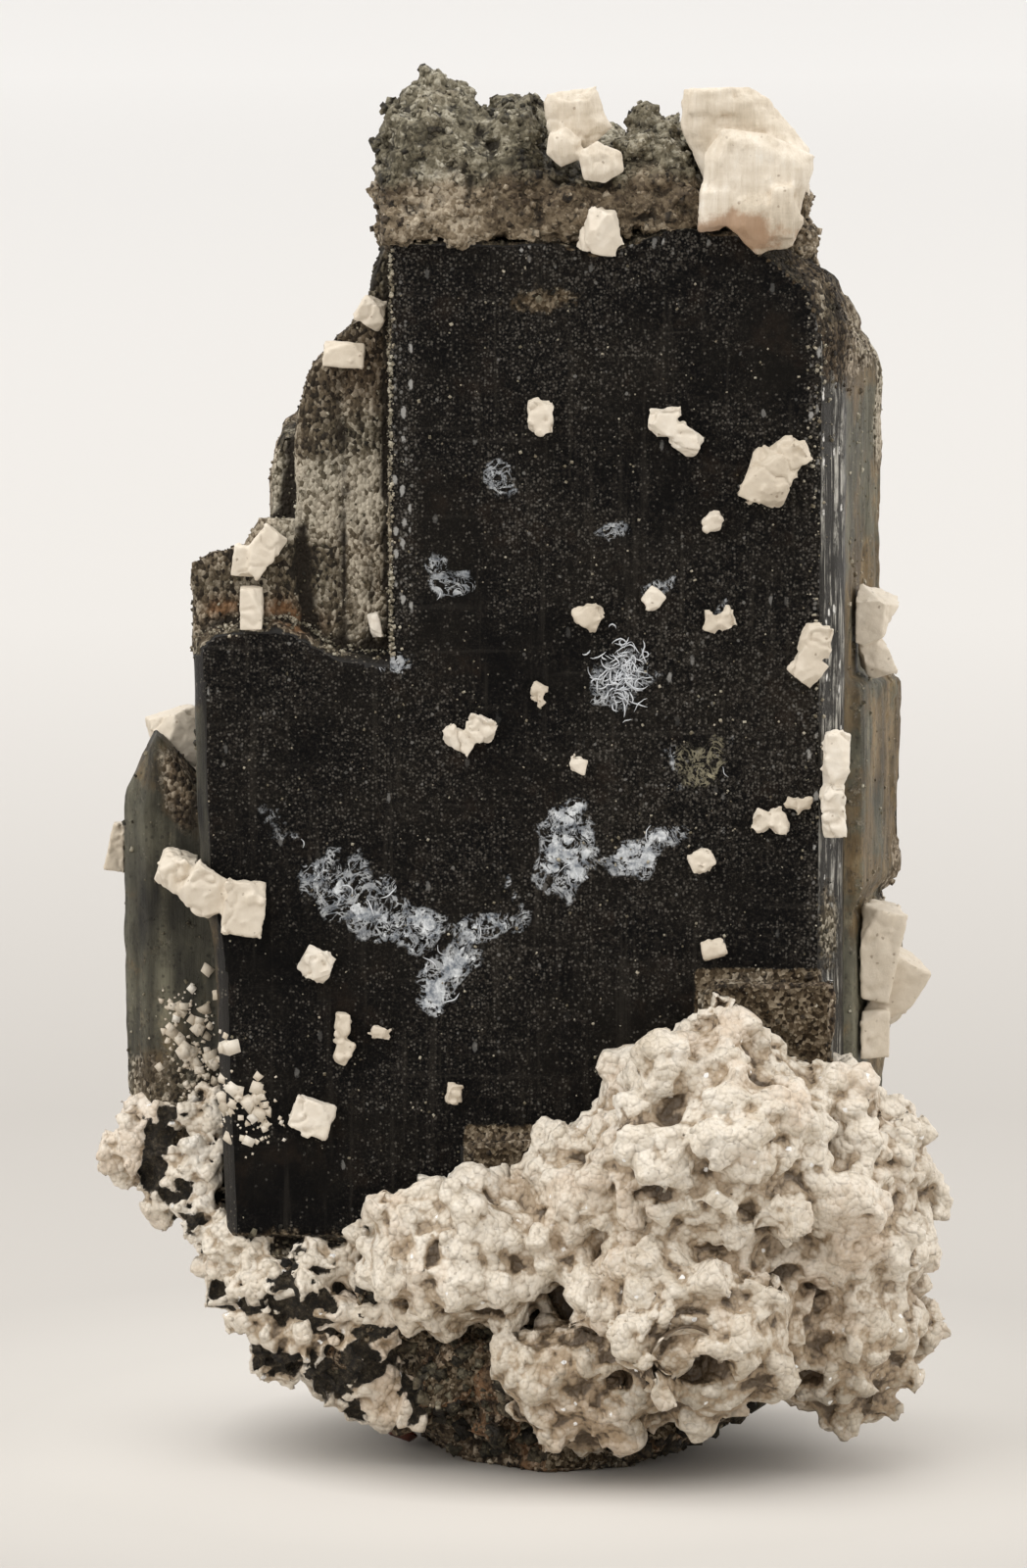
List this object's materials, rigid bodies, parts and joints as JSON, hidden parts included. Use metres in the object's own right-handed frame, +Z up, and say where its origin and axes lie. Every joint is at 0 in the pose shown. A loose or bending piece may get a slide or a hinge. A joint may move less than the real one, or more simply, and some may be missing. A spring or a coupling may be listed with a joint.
{
  "type": "mineral specimen",
  "caption": "Black tabular allanite crystal with a rough granular cap, a crust of cream feldspar round its foot and small feldspar crystals on its faces, standing on its broken base.",
  "frame": {"origin": "middle of the flat patch under the broken base that the specimen stands on", "axes": "+Z up along the tall crystal, -Y towards the viewer of its broad black front face, +X towards the side with the thick feldspar crust"},
  "size_m": [0.0305, 0.0207, 0.0504],
  "materials": {
    "allanite": "semi-gloss pitted black crystal",
    "granular_cap": "rough granular",
    "feldspar": "soft satin, slightly translucent",
    "red_brown": "glossy translucent"
  },
  "bodies": {
    "root": {"allanite_crystal": "allanite", "feldspar_crust": "feldspar", "feldspar_crust_left": "feldspar", "feldspar_grain_01": "feldspar", "feldspar_grain_02": "feldspar", "feldspar_grain_03": "feldspar", "feldspar_grain_04": "feldspar", "feldspar_grain_05": "feldspar", "feldspar_grain_06": "feldspar", "feldspar_grain_07": "feldspar", "feldspar_grain_08": "feldspar", "feldspar_grain_09": "feldspar", "feldspar_grain_10": "feldspar", "feldspar_grain_11": "feldspar", "feldspar_grain_12": "feldspar", "feldspar_grain_13": "feldspar", "feldspar_grain_14": "feldspar", "feldspar_grain_15": "feldspar", "feldspar_grain_16": "feldspar", "feldspar_grain_17": "feldspar", "feldspar_grain_18": "feldspar", "feldspar_grain_19": "feldspar", "feldspar_grain_20": "feldspar", "feldspar_grain_21": "feldspar", "feldspar_left_back": "feldspar", "feldspar_left_cluster": "feldspar", "feldspar_left_edge": "feldspar", "feldspar_right_lower": "feldspar", "feldspar_right_upper": "feldspar", "feldspar_step_sliver": "feldspar", "feldspar_terrace_low": "feldspar", "feldspar_terrace_square": "feldspar", "feldspar_terrace_top": "feldspar", "feldspar_terrace_upper": "feldspar", "feldspar_top_bead": "feldspar", "feldspar_top_centre": "feldspar", "feldspar_top_right": "feldspar", "granular_cap": "granular_cap", "red_brown_grain": "red_brown"}
  },
  "joints": []
}
